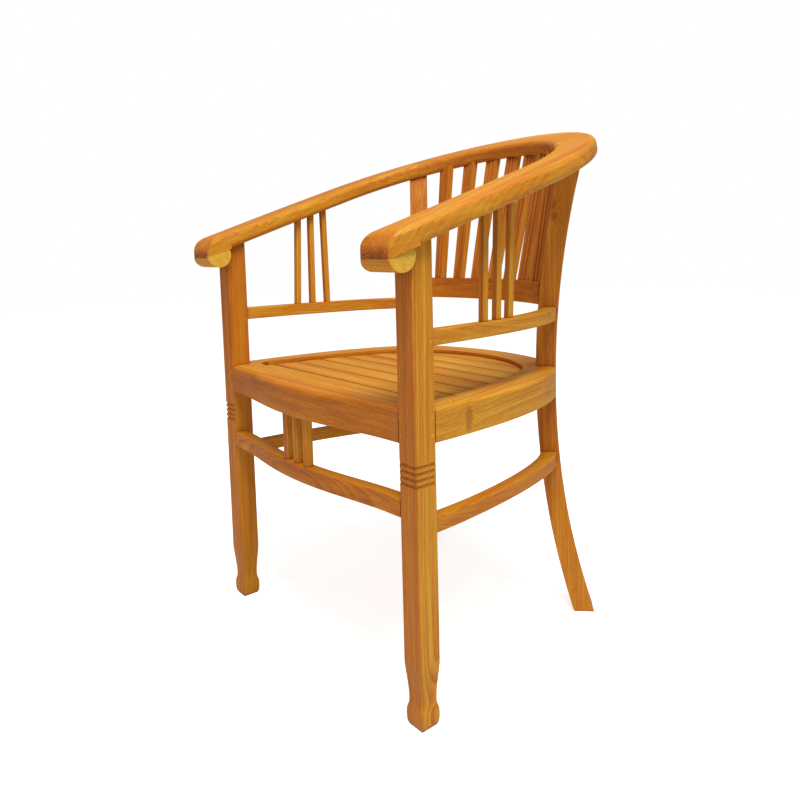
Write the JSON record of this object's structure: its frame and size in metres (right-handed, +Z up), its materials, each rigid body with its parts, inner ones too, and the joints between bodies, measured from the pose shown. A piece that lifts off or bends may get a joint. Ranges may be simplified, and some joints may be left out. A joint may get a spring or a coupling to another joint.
{
  "type": "captain's armchair",
  "caption": "Wooden captain's chair: one curved band forms arms and crest over a slatted back, with side spindles, a slatted seat, curved stretchers and splayed back legs.",
  "frame": {"origin": "the floor point under the middle of the chair: half way across and half way from the noses of the arms to the back of the crest", "axes": "+Z up, the chair faces -Y, +X is to the sitter's left"},
  "size_m": [0.617, 0.6031, 0.8807],
  "materials": {
    "leg_wood": "satin",
    "arm_wood": "satin",
    "slat_wood": "satin",
    "spindle_wood": "satin",
    "rail_wood": "satin",
    "peg_wood": "satin"
  },
  "bodies": {
    "root": {"arm_knuckle_left": "arm_wood", "arm_knuckle_right": "arm_wood", "arm_left": "arm_wood", "arm_right": "arm_wood", "arm_spindle_1_left": "spindle_wood", "arm_spindle_1_right": "spindle_wood", "arm_spindle_2_left": "spindle_wood", "arm_spindle_2_right": "spindle_wood", "arm_spindle_3_left": "spindle_wood", "arm_spindle_3_right": "spindle_wood", "back_leg_left": "leg_wood", "back_leg_right": "leg_wood", "back_lower_rail": "rail_wood", "back_slat_1": "spindle_wood", "back_slat_2": "spindle_wood", "back_slat_3": "spindle_wood", "back_slat_4": "spindle_wood", "back_slat_5": "spindle_wood", "back_slat_6": "spindle_wood", "back_slat_7": "spindle_wood", "crest_rail": "arm_wood", "front_leg_left": "leg_wood", "front_leg_right": "leg_wood", "front_spindle_1": "spindle_wood", "front_spindle_2": "spindle_wood", "front_spindle_3": "spindle_wood", "front_stretcher": "rail_wood", "joint_pegs": "peg_wood", "mid_arm_rail_left": "rail_wood", "mid_arm_rail_right": "rail_wood", "seat_back_rail": "rail_wood", "seat_batten": "slat_wood", "seat_front_rail": "rail_wood", "seat_side_rail_left": "rail_wood", "seat_side_rail_right": "rail_wood", "seat_slat_1": "slat_wood", "seat_slat_2": "slat_wood", "seat_slat_3": "slat_wood", "seat_slat_4": "slat_wood", "seat_slat_5": "slat_wood", "seat_slat_6": "slat_wood", "seat_slat_7": "slat_wood", "seat_slat_8": "slat_wood", "side_stretcher_left": "rail_wood", "side_stretcher_right": "rail_wood"}
  },
  "joints": []
}
